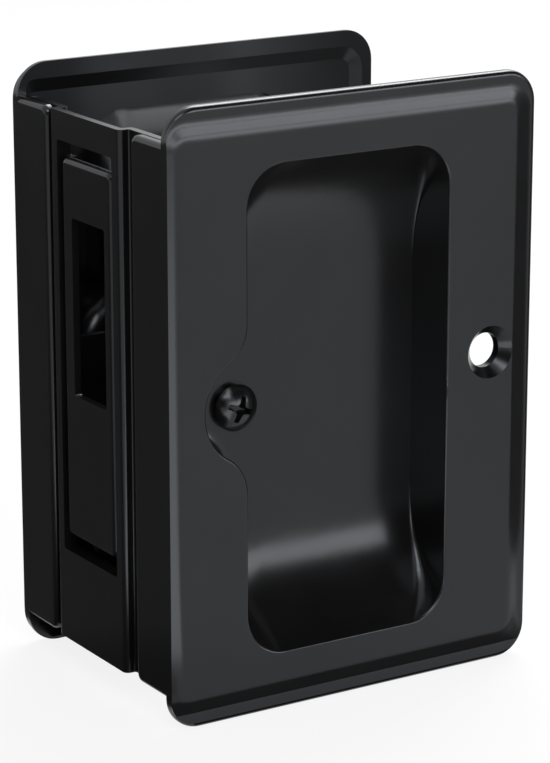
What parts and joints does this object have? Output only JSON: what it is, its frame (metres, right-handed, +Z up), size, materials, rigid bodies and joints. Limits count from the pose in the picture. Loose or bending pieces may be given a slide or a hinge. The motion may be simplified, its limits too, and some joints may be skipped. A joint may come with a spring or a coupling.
{
  "type": "pocket door lock",
  "caption": "Receiver half of an adjustable pocket door lock: cupped plates whose flanges slide over a folded edge plate that holds the strike for a hook bolt.",
  "frame": {"origin": "under the middle of the bounding box, at the plates' bottom edges", "axes": "+Z up along the plates' height, +Y through the door from the front plate to the rear plate, +X from the door's edge into the door"},
  "size_m": [0.0572, 0.0418, 0.0825],
  "materials": {
    "black_plate": "matte",
    "black_screw": "satin",
    "sleeve_steel": "black oxide"
  },
  "bodies": {
    "edge_core": {"edge_plate": "black_plate", "strike_case": "black_plate", "clamp_sleeve": "sleeve_steel"},
    "front_half": {"front_plate": "black_plate", "front_screw": "black_screw"},
    "rear_half": {"rear_plate": "black_plate", "rear_screw": "black_screw"}
  },
  "joints": [
    {"name": "front_slide", "type": "slide", "parent": "edge_core", "child": "front_half", "axis": [0, -1, 0], "range_m": [-0.0025, 0.00317]},
    {"name": "rear_slide", "type": "slide", "parent": "edge_core", "child": "rear_half", "axis": [0, 1, 0], "range_m": [-0.00068, 0.00317]}
  ]
}
